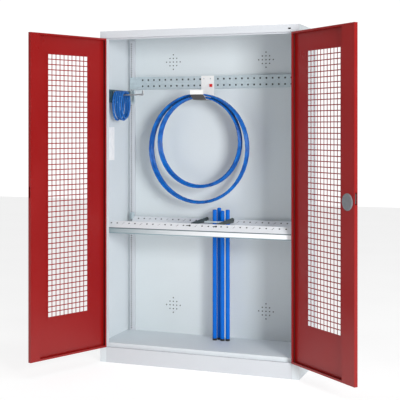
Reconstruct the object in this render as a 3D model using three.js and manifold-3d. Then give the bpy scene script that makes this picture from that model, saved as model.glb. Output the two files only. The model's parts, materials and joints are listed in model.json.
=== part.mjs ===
// Two-door equipment cabinet with perforated rails, hose coils, a rope coil and four rods.
// Millimetres, +Z up. X runs left to right seen from the front, Y runs into the cabinet.
// The origin is the centre of the footprint, on the floor. The doors stand open at rest.
import * as THREE from 'three';
import { mergeGeometries, mergeVertices } from 'three/addons/utils/BufferGeometryUtils.js';
import Module from 'manifold-3d';

const wasm = await Module();
wasm.setup();

// ---- driving dimensions -------------------------------------------------------------
const HEIGHT = 1950;
const WIDTH = 1200;
const DEPTH = 420;
const SHEET = 1.5;
const GAP = 0.3;
const OVERLAP = 0.4;

const FRONT = -DEPTH / 2;
const BACK = DEPTH / 2;
const HALF = WIDTH / 2;
const INNER_HALF = HALF - SHEET - GAP;

const PLINTH_HEIGHT = 88;
const PLINTH_HALF = 560;
const FLOOR_TOP = 112;
const FASCIA_BOTTOM = 1909;
const POST_FACE = 25;
const STOP_SETBACK = 22;
const STOP_REACH = 47;

const VENT_PITCH = 22.5;
const VENT_RADIUS = 4.5;
const VENT_X = [-296, 296];
const VENT_Z = [284, 1788];

const DOOR_BOTTOM = 91;
const DOOR_TOP = 1906;
const DOOR_THICKNESS = 20;
const DOOR_LIP = 11;
const DOOR_EDGE = 4;
const DOOR_END = 568;
const PIN_INSET = 30;
const LEFT_OPEN_DEG = 112.7;
const RIGHT_OPEN_DEG = 137.5;

const WINDOW_WIDTH = 295;
const WINDOW_HEIGHT = 1475;
const WINDOW_CENTRE_Z = 1057;
const WINDOW_CENTRE_X = DOOR_EDGE + 281;
const MESH_COLUMNS = 5;
const MESH_ROWS = 13;
const MESH_BORDER = 8;
const MESH_WEB = 5.5;
const MESH_SHEET = 1.2;

const KNUCKLE_RADIUS = 3.5;
const KNUCKLE_LENGTH = 28;
const HINGE_PIN_RADIUS = 1.8;
const HINGE_BORE_RADIUS = 2.15;
const HINGE_HEIGHTS = [245, 990, 1735];
const WING_REACH = 2.8;
const WING_FRONT = 1.2;
const PIN_HEAD_RADIUS = 3;
const PIN_HEAD = 2.5;

const LOCK_X = 512;
const LOCK_Z = 1008;
const ROD_X = 550;
const ROD_Y = 9.5;
const ROD_RADIUS = 4;
const ROD_HOLE_RADIUS = 5;
const LATCH_HEIGHT = 50;
const LATCH_Z = 1027;
const CHANNEL_SHEET = 1.2;
const LEFT_CHANNEL_FROM = 502;
const RIGHT_CHANNEL_FROM = 463;
const CASE_Y = [4, 17];
const CASE_X = [-44, 30];
const CASE_HALF = 65;
const DISC_RADIUS = 44;
const ROSETTE_RADIUS = 36;
const ROSETTE_DEPTH = 5;
const SPINDLE_RADIUS = 5;
const BOSS_RADIUS = 15;
const BOSS_FRONT = -14;
const BAR_Y = [-26, -13];
const BAR_HALF = 50;
const BAR_CHAMFER = 6;
const BAR_WIDTH_HALF = 9;

const RAIL_PITCH = 38;
const RAIL_HEIGHT = 76;
const RAIL_HALF = 545;
const RAIL_HOLE = 10;
const UPPER_RAIL_Z = 1659;
const UPPER_RAIL_Y = FRONT + 399;
const SIDE_RAIL_X = -574;
const SIDE_RAIL_Z = 1572;
const STRIP_WIDTH = 34;
const STRIP_X = 566;
const STRIP_FACE_Y = FRONT + 403;
const STRIP_TOP = FASCIA_BOTTOM + 20;
const ANGLE_Y = [FRONT + 30, FRONT + 62];
const ANGLE_LEG = 20;

const TRAVERSE_TOP = 828;
const FRONT_TRAVERSE_HALF = 573;
const REAR_TRAVERSE_HALF = 549;
const TRAVERSE_FACE = 50;
const TRAVERSE_SHEET = 2;
const TRAVERSE_LIP = 34;
const TRAVERSE_HOLE = 9;
const FRONT_TRAVERSE_Y = FRONT + 28;
const REAR_TRAVERSE_Y = FRONT + 355;
const BRACKET_SHEET = 2;
const FRONT_BRACKET_Z = [TRAVERSE_TOP - 62, TRAVERSE_TOP - 2];
const REAR_BRACKET_Z = [TRAVERSE_TOP - 20, TRAVERSE_TOP + 23];

const HOLDER_X = -65;
const HOLDER_WIDTH = 82;
const HOLDER_FLOOR = 1550;
const HOLDER_SHEET = 2;
const PLUG_X = [HOLDER_X + 13, HOLDER_X + 31];
const PLUG_Z = [1629, 1647];
const HOLDER_TOP = 1698;
const HOLDER_LIP_Y = FRONT + 195;
const HOLDER_BEND_Y = FRONT + 254;

const HOOK_Y = FRONT + 154;
const HOOK_Z = 1581;
const HOOK_TIP_X = -392;
const HOOK_TIP_Z = 1605;
const HOOK_WIRE = 3;

const COIL_Y = [FRONT + 258, FRONT + 336];
const COIL_THICKNESS = 12;
const ROPE_COIL_X = [-570, -490];
const ROPE_COIL_THICKNESS = 14;
const ROPE_COIL_HALF = 66;
const ROPE_COIL_STRETCH = 92 / 66;

const ROD_GUIDE_X = HALF - PIN_INSET - ROD_X;
const STANDING_ROD_RADIUS = 12.5;
const STANDING_ROD_FOOT = 12;
const STANDING_ROD_PLACES = [[10, 310, 892], [29, 338, 902], [58, 310, 887], [88, 320, 893]];
const ARM_X = [-52, 108];
const ARM_HALF = 2;

// ---- materials ----------------------------------------------------------------------
const paint = (color, roughness = 0.5, metalness = 0) =>
  new THREE.MeshStandardMaterial({ color, roughness, metalness });
const GREY_PAINT = paint(0xd5d8dc, 0.5);
const RED_PAINT = paint(0xa31f20, 0.45);
const GALVANISED = paint(0xa3aeb2, 0.45, 0.7);
const WHITE_PAINT = paint(0xf0f0ee, 0.4);
const DARK_STEEL = paint(0x3c4446, 0.5, 0.5);
const STEEL = paint(0xb8bbbd, 0.35, 0.9);
const GREY_PLASTIC = paint(0x85898b, 0.5);
const BLACK_PLASTIC = paint(0x17191b, 0.5);
const RED_PLASTIC = paint(0xe01018, 0.4);
const BLUE_HOSE = paint(0x1470cf, 0.25);
const BLUE_ROPE = paint(0x1a7fd0, 0.8);
const BLUE_ROD = paint(0x0c4fae, 0.4, 0.2);

// ---- geometry helpers ---------------------------------------------------------------
function toManifold(geometry) {
  const bare = geometry.clone();
  bare.deleteAttribute('normal');
  bare.deleteAttribute('uv');
  const merged = mergeVertices(bare, 1e-4);
  const vertProperties = new Float32Array(merged.attributes.position.array);
  const triVerts = new Uint32Array(merged.index.array);
  return new wasm.Manifold(new wasm.Mesh({ numProp: 3, vertProperties, triVerts }));
}

function toGeometry(manifold) {
  const mesh = manifold.getMesh();
  const geometry = new THREE.BufferGeometry();
  geometry.setAttribute('position', new THREE.BufferAttribute(mesh.vertProperties, 3));
  geometry.setIndex(new THREE.BufferAttribute(mesh.triVerts, 1));
  geometry.computeVertexNormals();
  return geometry;
}

function boxGeometry(x, y, z) {
  const size = [x, y, z].map(([a, b]) => Math.abs(b - a));
  const middle = [x, y, z].map(([a, b]) => (a + b) / 2);
  return new THREE.BoxGeometry(...size).translate(...middle);
}

const box = (x, y, z) => toManifold(boxGeometry(x, y, z));
const union = (parts) => parts.reduce((all, part) => all.add(part));
const cut = (body, tools) => tools.reduce((all, tool) => all.subtract(tool), body);

// A flat outline [u, v] in the plane across `axis`, extruded from `from` to `to`.
function prismGeometry(outline, axis, [from, to]) {
  const shape = new THREE.Shape(toPoints(outline));
  const geometry = new THREE.ExtrudeGeometry(shape, { depth: to - from, bevelEnabled: false });
  geometry.translate(0, 0, from);
  const turn = new THREE.Matrix4();
  if (axis === 'x') turn.makeBasis(unit(0, 1, 0), unit(0, 0, 1), unit(1, 0, 0));
  if (axis === 'y') turn.makeBasis(unit(0, 0, 1), unit(1, 0, 0), unit(0, 1, 0));
  return axis === 'z' ? geometry : geometry.applyMatrix4(turn);
}

const unit = (x, y, z) => new THREE.Vector3(x, y, z);
const toPoints = (list) => list.map(([u, v]) => new THREE.Vector2(u, v));

// The same prism as a solid, with `holes` (outlines in the same plane) cut through it.
function prism(outline, axis, [from, to], holes = []) {
  const solid = toManifold(prismGeometry(outline, axis, [from, to]));
  if (holes.length === 0) return solid;
  const tools = holes.map((hole) => prismGeometry(hole, axis, [from - 1, to + 1]));
  return solid.subtract(toManifold(mergeGeometries(tools)));
}

function square(u, v, half) {
  return ngon(u, v, half * Math.SQRT2, 4, 45);
}

function ngon(u, v, radius, sides, turnDeg = 0) {
  const corners = [];
  for (let i = 0; i < sides; i += 1) {
    const angle = (i / sides) * Math.PI * 2 + THREE.MathUtils.degToRad(turnDeg);
    corners.push([u + radius * Math.cos(angle), v + radius * Math.sin(angle)]);
  }
  return corners;
}

function rectangle(u0, u1, v0, v1) {
  return [[u0, v0], [u1, v0], [u1, v1], [u0, v1]];
}

// A slanted slot: a thin parallelogram centred on (u, v).
function slantedSlot(u, v) {
  return [[u - 9, v - 7], [u - 4, v - 7], [u + 9, v + 7], [u + 4, v + 7]];
}

// A cylinder with its axis along x, y or z, centred on the two other coordinates.
function rod(axis, centre, radius, [from, to], sides = 12) {
  return prism(ngon(centre[0], centre[1], radius, sides, 180 / sides), axis, [from, to]);
}

function mesh(name, source, material) {
  const geometry = source instanceof THREE.BufferGeometry ? source : toGeometry(source);
  const node = new THREE.Mesh(geometry, material);
  node.name = name;
  return node;
}

const cabinet = new THREE.Group();
const SIDES = [['left', -1], ['right', 1]];

// ---- carcass ------------------------------------------------------------------------
// One folded sheet: side wall, front face, step back, and the flange the door stops against.
function sidePanel(sign) {
  const out = (inset) => sign * (HALF - inset);
  const postTop = FASCIA_BOTTOM - GAP;
  const stop = FRONT + STOP_SETBACK;
  const pieces = [
    box([out(0), out(SHEET)], [FRONT, BACK], [0, postTop]),
    box([out(0), out(SHEET)], [FRONT + SHEET + GAP, BACK], [0, HEIGHT - SHEET - GAP]),
    box([out(0), out(POST_FACE)], [FRONT, FRONT + SHEET], [0, postTop]),
    box([out(0), out(HALF - PLINTH_HALF)], [FRONT, FRONT + SHEET], [0, PLINTH_HEIGHT]),
    box([out(POST_FACE - SHEET), out(POST_FACE)], [FRONT, stop + SHEET], [0, postTop]),
    box([out(POST_FACE - SHEET), out(STOP_REACH)], [stop, stop + SHEET], [PLINTH_HEIGHT, postTop]),
  ];
  HINGE_HEIGHTS.forEach((z) => pieces.push(...frameKnuckle(sign, z)));
  return union(pieces);
}

function knuckle(x, y, z0, z1) {
  return prism(ngon(x, y, KNUCKLE_RADIUS, 12, 15), 'z', [z0, z1],
    [ngon(x, y, HINGE_BORE_RADIUS, 12, 15)]);
}

function frameKnuckle(sign, z) {
  const x = sign * (HALF - PIN_INSET);
  const top = z + KNUCKLE_LENGTH;
  const wing = box([sign * (HALF - POST_FACE + OVERLAP), x + sign * WING_REACH],
    [FRONT - WING_FRONT, FRONT + SHEET], [z, top]);
  return [knuckle(x, FRONT, z, top), wing];
}

SIDES.forEach(([side, sign]) => cabinet.add(mesh(`${side}_side_panel`, sidePanel(sign), GREY_PAINT)));

// The back has four diamond groups of round vent holes: rows of 1, 3, 5, 3 and 1.
function ventHoles() {
  const holes = [];
  for (const x of VENT_X) {
    for (const z of VENT_Z) {
      for (let row = -2; row <= 2; row += 1) {
        const half = 2 - Math.abs(row);
        for (let column = -half; column <= half; column += 1) {
          holes.push(ngon(z + row * VENT_PITCH, x + column * VENT_PITCH, VENT_RADIUS, 6));
        }
      }
    }
  }
  return holes;
}

const backOutline = rectangle(GAP, HEIGHT - SHEET - GAP, -INNER_HALF, INNER_HALF);
cabinet.add(mesh('back_panel',
  prism(backOutline, 'y', [BACK - SHEET, BACK], ventHoles()), GREY_PAINT));

// The top: a plate with a front fascia whose lower edge returns to a stop flange for the doors.
function topPanel() {
  const stop = FRONT + STOP_SETBACK;
  const body = union([
    box([-HALF, HALF], [FRONT, BACK], [HEIGHT - SHEET, HEIGHT]),
    box([-HALF, HALF], [FRONT, FRONT + SHEET], [FASCIA_BOTTOM, HEIGHT]),
    box([-INNER_HALF, INNER_HALF], [FRONT, stop + SHEET], [FASCIA_BOTTOM, FASCIA_BOTTOM + SHEET]),
    box([-INNER_HALF, INNER_HALF], [stop, stop + SHEET], [FASCIA_BOTTOM, FASCIA_BOTTOM + 14]),
    box([-(HALF - STOP_REACH - GAP), HALF - STOP_REACH - GAP], [stop, stop + SHEET],
      [FASCIA_BOTTOM - 8, FASCIA_BOTTOM + SHEET]),
  ]);
  return cut(body, [rod('z', [ROD_GUIDE_X, FRONT + ROD_Y], ROD_HOLE_RADIUS + 0.5,
    [FASCIA_BOTTOM - 1, FASCIA_BOTTOM + 3])]);
}

cabinet.add(mesh('top_panel', topPanel(), GREY_PAINT));

// The floor pan: a plate with a deep front lip that the closed doors rest against.
function floorPanel() {
  const lipY = FRONT + STOP_SETBACK;
  const half = HALF - STOP_REACH - GAP;
  return union([
    box([-INNER_HALF, INNER_HALF], [lipY + SHEET + GAP, BACK - SHEET - GAP],
      [FLOOR_TOP - SHEET, FLOOR_TOP]),
    box([-half, half], [lipY, lipY + SHEET + 1], [FLOOR_TOP - SHEET, FLOOR_TOP]),
    box([-half, half], [lipY, lipY + SHEET], [PLINTH_HEIGHT - 8, FLOOR_TOP]),
  ]);
}

cabinet.add(mesh('floor_panel', floorPanel(), GREY_PAINT));

function plinthFront() {
  const half = PLINTH_HALF - GAP;
  const ledge = union([
    box([-half, half], [FRONT, FRONT + SHEET], [0, PLINTH_HEIGHT]),
    box([-half, half], [FRONT, FRONT + STOP_SETBACK - GAP],
      [PLINTH_HEIGHT - SHEET, PLINTH_HEIGHT]),
  ]);
  return cut(ledge, [rod('z', [ROD_GUIDE_X, FRONT + ROD_Y], ROD_HOLE_RADIUS + 0.5,
    [PLINTH_HEIGHT - 4, PLINTH_HEIGHT + 2])]);
}

cabinet.add(mesh('plinth_front', plinthFront(), GREY_PAINT));

// Underfloor rails: a rear plinth angle and a hat-shaped stiffener on the centre line.
cabinet.add(mesh('plinth_rear', union([
  box([-PLINTH_HALF, PLINTH_HALF], [BACK - 6 - SHEET, BACK - 6], [0, FLOOR_TOP - SHEET - GAP]),
  box([-PLINTH_HALF, PLINTH_HALF], [BACK - 30, BACK - 6], [0, SHEET]),
]), GREY_PAINT));

// An open hat section across Y, listed as [z, x] pairs.
function hatOutline(web, brim, top, wall) {
  const right = [
    [0, web], [top - wall, web], [top - wall, brim], [top, brim], [top, web - wall],
    [wall, web - wall],
  ];
  const left = right.map(([z, x]) => [z, -x]).reverse();
  return [...right, ...left];
}

cabinet.add(mesh('floor_stiffener',
  prismGeometry(hatOutline(30, 50, FLOOR_TOP - SHEET - GAP, 2), 'y', [FRONT + 26, BACK - 31]),
  GALVANISED));

// Uprights: U-shaped strips in the four corners, open to the wall behind them.
function upright(centreX, faceY, depth) {
  const x = [centreX - STRIP_WIDTH / 2, centreX + STRIP_WIDTH / 2];
  const z = [FLOOR_TOP + GAP, STRIP_TOP];
  const y = [Math.min(faceY, faceY + depth), Math.max(faceY, faceY + depth)];
  const towards = Math.sign(depth);
  return union([
    box(x, [faceY, faceY + towards * SHEET], z),
    box([x[0], x[0] + SHEET], y, z),
    box([x[1] - SHEET, x[1]], y, z),
  ]);
}

SIDES.forEach(([side, sign]) => {
  const rearDepth = BACK - SHEET - GAP - STRIP_FACE_Y;
  cabinet.add(mesh(`rear_${side}_upright`, upright(sign * STRIP_X, STRIP_FACE_Y, rearDepth),
    GREY_PAINT));
  cabinet.add(mesh(`front_${side}_upright`, frontUpright(sign), GREY_PAINT));
});

// The front uprights are angles that stand against the side walls behind the stop flange.
function frontUpright(sign) {
  const wall = sign * INNER_HALF;
  const z = [FLOOR_TOP + GAP, STRIP_TOP];
  return union([
    box([wall - sign * SHEET, wall], ANGLE_Y, z),
    box([wall - sign * ANGLE_LEG, wall], [ANGLE_Y[1] - SHEET, ANGLE_Y[1]], z),
  ]);
}

// ---- perforated wall rails ----------------------------------------------------------
// Two rows of square holes; the face stands off the wall on two folded edges.
function perforatedPlate(columns, axis, span, zCentre, level) {
  const holes = [];
  columns.forEach((u) => {
    [-RAIL_PITCH / 2, RAIL_PITCH / 2].forEach((dz) => {
      const hole = axis === 'y' ? square(zCentre + dz, u, RAIL_HOLE / 2)
        : square(u, zCentre + dz, RAIL_HOLE / 2);
      holes.push(hole);
    });
  });
  const z = [zCentre - RAIL_HEIGHT / 2, zCentre + RAIL_HEIGHT / 2];
  const outline = axis === 'y' ? rectangle(z[0], z[1], span[0], span[1])
    : rectangle(span[0], span[1], z[0], z[1]);
  return prism(outline, axis, level, holes);
}

function gridFrom(start, count) {
  return Array.from({ length: count }, (_, i) => start + i * RAIL_PITCH);
}

function upperRail() {
  const z0 = UPPER_RAIL_Z - RAIL_HEIGHT / 2;
  const z1 = UPPER_RAIL_Z + RAIL_HEIGHT / 2;
  const back = BACK - SHEET - GAP;
  return union([
    perforatedPlate(gridFrom(-13 * RAIL_PITCH, 27), 'y', [-RAIL_HALF, RAIL_HALF], UPPER_RAIL_Z,
      [UPPER_RAIL_Y, UPPER_RAIL_Y + SHEET]),
    box([-RAIL_HALF, RAIL_HALF], [UPPER_RAIL_Y, back], [z0, z0 + SHEET]),
    box([-RAIL_HALF, RAIL_HALF], [UPPER_RAIL_Y, back], [z1 - SHEET, z1]),
  ]);
}

cabinet.add(mesh('upper_rail', upperRail(), GALVANISED));

SIDES.forEach(([side, sign]) => {
  const face = [STRIP_FACE_Y - GAP - BRACKET_SHEET, STRIP_FACE_Y - GAP];
  cabinet.add(mesh(`upper_rail_${side}_bracket`, boxGeometry(
    [sign * (RAIL_HALF + GAP), sign * (STRIP_X + STRIP_WIDTH / 2 - 2)], face,
    [UPPER_RAIL_Z - RAIL_HEIGHT / 2, UPPER_RAIL_Z + RAIL_HEIGHT / 2]), GALVANISED));
});

const SIDE_RAIL_Y = [FRONT + 66, FRONT + 392];

function sideRail() {
  const z0 = SIDE_RAIL_Z - RAIL_HEIGHT / 2;
  const z1 = SIDE_RAIL_Z + RAIL_HEIGHT / 2;
  const foot = -INNER_HALF + 2;
  return union([
    perforatedPlate(gridFrom(FRONT + 85, 8), 'x', SIDE_RAIL_Y, SIDE_RAIL_Z,
      [SIDE_RAIL_X - SHEET, SIDE_RAIL_X]),
    box([foot, SIDE_RAIL_X], SIDE_RAIL_Y, [z0, z0 + SHEET]),
    box([foot, SIDE_RAIL_X], SIDE_RAIL_Y, [z1 - SHEET, z1]),
  ]);
}

cabinet.add(mesh('side_rail', sideRail(), GALVANISED));

// The side rail's rear end sits on a drilled bracket with a rounded foot, hooked into the upright.
function sideRailBracket() {
  const x = [-582, -549];
  const z = [SIDE_RAIL_Z - 42, SIDE_RAIL_Z + 44];
  const outline = [[z[0], -575], [z[0] + 6, x[0]], [z[1], x[0]], [z[1], x[1]], [z[0] + 6, x[1]],
    [z[0], -556]];
  const holes = [-22, 8, 34].flatMap((dz) => [-574, -558].map((u) => ngon(SIDE_RAIL_Z + dz, u, 3.5, 8)));
  const face = STRIP_FACE_Y - GAP;
  const plate = prism(outline, 'y', [face - BRACKET_SHEET, face], holes);
  const fold = box([x[1], x[1] + BRACKET_SHEET], [face - 18, face], [z[0] + 16, z[1]]);
  return plate.add(fold);
}

cabinet.add(mesh('side_rail_rear_bracket', sideRailBracket(), GALVANISED));

// ---- traverses: closed sections with a sloping perforated face and a front lip ---------
function traverse(faceY, half, holeCount) {
  const slope = Math.PI / 4;
  const rise = TRAVERSE_FACE * Math.sin(slope);
  const lipTop = TRAVERSE_TOP - rise;
  const bottom = lipTop - TRAVERSE_LIP;
  const rearY = faceY + rise;
  const x = [-half, half];
  const holes = [];
  for (let i = 0; i < holeCount; i += 1) {
    const u = (i - (holeCount - 1) / 2) * RAIL_PITCH;
    const hole = i % 3 === 2 ? slantedSlot(u, TRAVERSE_FACE * 0.66)
      : square(u, TRAVERSE_FACE * 0.7, TRAVERSE_HOLE / 2);
    holes.push(hole);
  }
  const outline = rectangle(x[0], x[1], 0, TRAVERSE_FACE);
  const face = toGeometry(prism(outline, 'z', [-TRAVERSE_SHEET, 0], holes)).rotateX(slope)
    .translate(0, faceY, lipTop);
  return union([
    toManifold(face),
    box(x, [faceY, faceY + TRAVERSE_SHEET], [bottom, lipTop + OVERLAP]),
    box(x, [rearY - OVERLAP, rearY + TRAVERSE_SHEET], [bottom, TRAVERSE_TOP]),
    box(x, [faceY, rearY + TRAVERSE_SHEET], [bottom, bottom + TRAVERSE_SHEET]),
  ]);
}

cabinet.add(mesh('front_traverse', traverse(FRONT_TRAVERSE_Y, FRONT_TRAVERSE_HALF, 30), GREY_PAINT));
cabinet.add(mesh('rear_traverse', traverse(REAR_TRAVERSE_Y, REAR_TRAVERSE_HALF, 28), GREY_PAINT));

// An angle on the traverse's end, folded outward in front of `back`; `x` runs end to fold tip.
function endBracket(sign, x, [front, back], z) {
  return union([
    box([sign * x[0], sign * (x[0] + BRACKET_SHEET)], [front, back], z),
    box([sign * x[0], sign * x[1]], [back - BRACKET_SHEET, back], z),
  ]);
}

SIDES.forEach(([side, sign]) => {
  const frontX = [FRONT_TRAVERSE_HALF + GAP, INNER_HALF - 1];
  const frontY = [FRONT_TRAVERSE_Y + 1, ANGLE_Y[1] + BRACKET_SHEET + GAP];
  const rearX = [REAR_TRAVERSE_HALF + GAP, STRIP_X + STRIP_WIDTH / 2 - 1];
  const rearY = [REAR_TRAVERSE_Y + 2, STRIP_FACE_Y - GAP];
  cabinet.add(mesh(`front_traverse_${side}_bracket`,
    endBracket(sign, frontX, frontY, FRONT_BRACKET_Z), GALVANISED));
  cabinet.add(mesh(`rear_traverse_${side}_bracket`,
    endBracket(sign, rearX, rearY, REAR_BRACKET_Z), GALVANISED));
});

// ---- hose holder on the upper rail ---------------------------------------------------
// One bent strip: plate on the rail, floor, rising front and upright lip, seen as [y, z] pairs.
function hoseHolder() {
  const face = UPPER_RAIL_Y - GAP;
  const t = HOLDER_SHEET;
  const low = HOLDER_FLOOR - t;
  const lip = [HOLDER_FLOOR + 28, HOLDER_FLOOR + 55];
  const outline = [
    [face, HOLDER_TOP], [face, low], [HOLDER_BEND_Y, low], [HOLDER_LIP_Y, lip[0]],
    [HOLDER_LIP_Y, lip[1]], [HOLDER_LIP_Y + t, lip[1]], [HOLDER_LIP_Y + t, lip[0] + t * 0.7],
    [HOLDER_BEND_Y + t * 0.3, HOLDER_FLOOR], [face - t, HOLDER_FLOOR], [face - t, HOLDER_TOP],
  ];
  const bent = prism(outline, 'x', [HOLDER_X - HOLDER_WIDTH / 2, HOLDER_X + HOLDER_WIDTH / 2]);
  const drills = [-21, 21].map((dx) => rod('y', [HOLDER_TOP - 18, HOLDER_X + dx - 3], 4,
    [face - 6, face + 3], 8));
  const socket = box(PLUG_X, [face - 6, face + 3], PLUG_Z);
  return cut(bent, [...drills, socket]);
}

cabinet.add(mesh('hose_holder', hoseHolder(), WHITE_PAINT));
cabinet.add(mesh('hose_holder_lock_plug', boxGeometry(
  [PLUG_X[0] + GAP, PLUG_X[1] - GAP], [UPPER_RAIL_Y - GAP - 6, UPPER_RAIL_Y - GAP],
  [PLUG_Z[0] + GAP, PLUG_Z[1] - GAP]), RED_PLASTIC));

// ---- rope hook on the side rail --------------------------------------------------------
function ropeHook() {
  const face = SIDE_RAIL_X + GAP;
  return union([
    box([face, face + 2], [HOOK_Y - 25, HOOK_Y + 25], [SIDE_RAIL_Z - 30, SIDE_RAIL_Z + 30]),
    rod('x', [HOOK_Y, HOOK_Z], HOOK_WIRE, [face + 1, HOOK_TIP_X], 10),
    rod('z', [HOOK_TIP_X, HOOK_Y], HOOK_WIRE, [HOOK_Z - 2, HOOK_TIP_Z], 10),
  ]);
}

cabinet.add(mesh('rope_hook', ropeHook(), STEEL));

// ---- stored hoses and rope: plain rings -------------------------------------------------
function ringProfile(outer, thickness, [low, high]) {
  const inner = outer - thickness;
  return [[inner, low], [outer, low], [outer, high], [inner, high], [inner, low]]
    .map(([r, h]) => new THREE.Vector2(r, h));
}

// A ring about the Y axis, taller than it is wide because it hangs from its top.
function hangingRing(centreX, top, bottom, halfWidth) {
  const ring = new THREE.LatheGeometry(ringProfile(halfWidth, COIL_THICKNESS, COIL_Y), 40);
  return ring.scale(1, 1, (top - bottom) / 2 / halfWidth)
    .translate(centreX, 0, (top + bottom) / 2);
}

cabinet.add(mesh('large_hose_coil', hangingRing(-87, 1586.5, 923, 312), BLUE_HOSE));
cabinet.add(mesh('small_hose_coil', hangingRing(-82, 1571, 1019, 260), BLUE_HOSE));

// The rope coil hangs on the hook, its turns side by side along the hook.
function ropeCoil() {
  const length = ROPE_COIL_X[1] - ROPE_COIL_X[0];
  const innerTop = (ROPE_COIL_HALF - ROPE_COIL_THICKNESS) * ROPE_COIL_STRETCH;
  const ring = new THREE.LatheGeometry(
    ringProfile(ROPE_COIL_HALF, ROPE_COIL_THICKNESS, [0, length]), 24);
  return ring.rotateZ(-Math.PI / 2).scale(1, 1, ROPE_COIL_STRETCH)
    .translate(ROPE_COIL_X[0], HOOK_Y, HOOK_Z + HOOK_WIRE + 0.8 - innerTop);
}

cabinet.add(mesh('rope_coil', ropeCoil(), BLUE_ROPE));

// ---- upright rods and their holder ------------------------------------------------------
// Two arms lie between the traverses, seen as [y, z] pairs, with a bar across before and behind
// the rods.
function holderArm(x) {
  const outline = [
    [67, 820], [67, 833], [350, 842], [364, 840], [372, 834], [376, 826], [373, 818], [366, 813],
    [350, 811],
  ].map(([y, z]) => [FRONT + y, z]);
  return prismGeometry(outline, 'x', [x - ARM_HALF, x + ARM_HALF]);
}

SIDES.forEach(([side], i) => {
  cabinet.add(mesh(`rod_holder_${side}_arm`, holderArm(ARM_X[i]), DARK_STEEL));
});

[['front', 290], ['rear', 351]].forEach(([place, y]) => {
  cabinet.add(mesh(`rod_holder_${place}_bar`, boxGeometry(
    [ARM_X[0] + ARM_HALF + GAP, ARM_X[1] - ARM_HALF - GAP], [FRONT + y, FRONT + y + 3.5],
    [814, 824]), GALVANISED));
});

// A round rod with a domed top; its lower end stands in a foot.
function standingRod(centre, top) {
  const profile = [[0, 0], [1, 0], [1, 0.55], [0.86, 0.8], [0.5, 1], [0, 1]];
  const bottom = FLOOR_TOP + STANDING_ROD_FOOT + GAP;
  const dome = 9;
  const points = profile.map(([r, h], i) => new THREE.Vector2(r * STANDING_ROD_RADIUS,
    i < 2 ? bottom : top - dome * (1 - h)));
  return new THREE.LatheGeometry(points, 16).rotateX(Math.PI / 2).translate(centre[0], centre[1], 0);
}

STANDING_ROD_PLACES.forEach(([x, y, top], i) => {
  const centre = [x, FRONT + y];
  cabinet.add(mesh(`rod_${i + 1}`, standingRod(centre, top), BLUE_ROD));
  cabinet.add(mesh(`rod_${i + 1}_foot`, prismGeometry(
    ngon(centre[0], centre[1], STANDING_ROD_RADIUS + 0.5, 16, 11), 'z',
    [FLOOR_TOP + GAP, FLOOR_TOP + STANDING_ROD_FOOT]), BLACK_PLASTIC));
});

// ---- doors --------------------------------------------------------------------------------
// Each door is built closed in its own group: X from the hinge pin to the free edge, Y inward.
// `sign` is +1 for the left door, which runs towards +X, and -1 for the right door.
function doorPanel(sign, hasLatchSlot) {
  const x = (a, b) => [sign * a, sign * b];
  const z = [DOOR_BOTTOM, DOOR_TOP];
  const lip = [DOOR_THICKNESS - SHEET, DOOR_THICKNESS];
  const pieces = [
    box(x(DOOR_EDGE, DOOR_END), [0, SHEET], z),
    box(x(DOOR_EDGE, DOOR_EDGE + SHEET), [0, DOOR_THICKNESS], z),
    box(x(DOOR_END - SHEET, DOOR_END), [0, DOOR_THICKNESS], z),
    box(x(DOOR_EDGE, DOOR_END), [0, DOOR_THICKNESS], [z[0], z[0] + SHEET]),
    box(x(DOOR_EDGE, DOOR_END), [0, DOOR_THICKNESS], [z[1] - SHEET, z[1]]),
    box(x(DOOR_EDGE, DOOR_EDGE + DOOR_LIP), lip, z),
    box(x(DOOR_END - DOOR_LIP, DOOR_END), lip, z),
    box(x(DOOR_EDGE, DOOR_END), lip, [z[0], z[0] + DOOR_LIP]),
    box(x(DOOR_EDGE, DOOR_END), lip, [z[1] - DOOR_LIP, z[1]]),
  ];
  HINGE_HEIGHTS.forEach((height) => {
    const base = height + KNUCKLE_LENGTH + GAP;
    pieces.push(knuckle(0, 0, base, base + KNUCKLE_LENGTH));
    pieces.push(box(x(WING_REACH, DOOR_EDGE + SHEET), [-WING_FRONT, SHEET],
      [base, base + KNUCKLE_LENGTH]));
  });
  const tools = [
    box(x(WINDOW_CENTRE_X - WINDOW_WIDTH / 2, WINDOW_CENTRE_X + WINDOW_WIDTH / 2), [-1, 3],
      [WINDOW_CENTRE_Z - WINDOW_HEIGHT / 2, WINDOW_CENTRE_Z + WINDOW_HEIGHT / 2]),
    box(x(DOOR_END - 4, DOOR_END + 4), [5, 15], [LATCH_Z - 31, LATCH_Z + 31]),
  ];
  if (hasLatchSlot) {
    const rodAt = [sign * ROD_X, ROD_Y];
    tools.push(rod('z', rodAt, ROD_HOLE_RADIUS, [z[0] - 2, z[0] + 4]));
    tools.push(rod('z', rodAt, ROD_HOLE_RADIUS, [z[1] - 4, z[1] + 2]));
    tools.push(rod('y', [LOCK_Z, sign * LOCK_X], 8, [-3, 4]));
  }
  return cut(union(pieces), tools);
}

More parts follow.
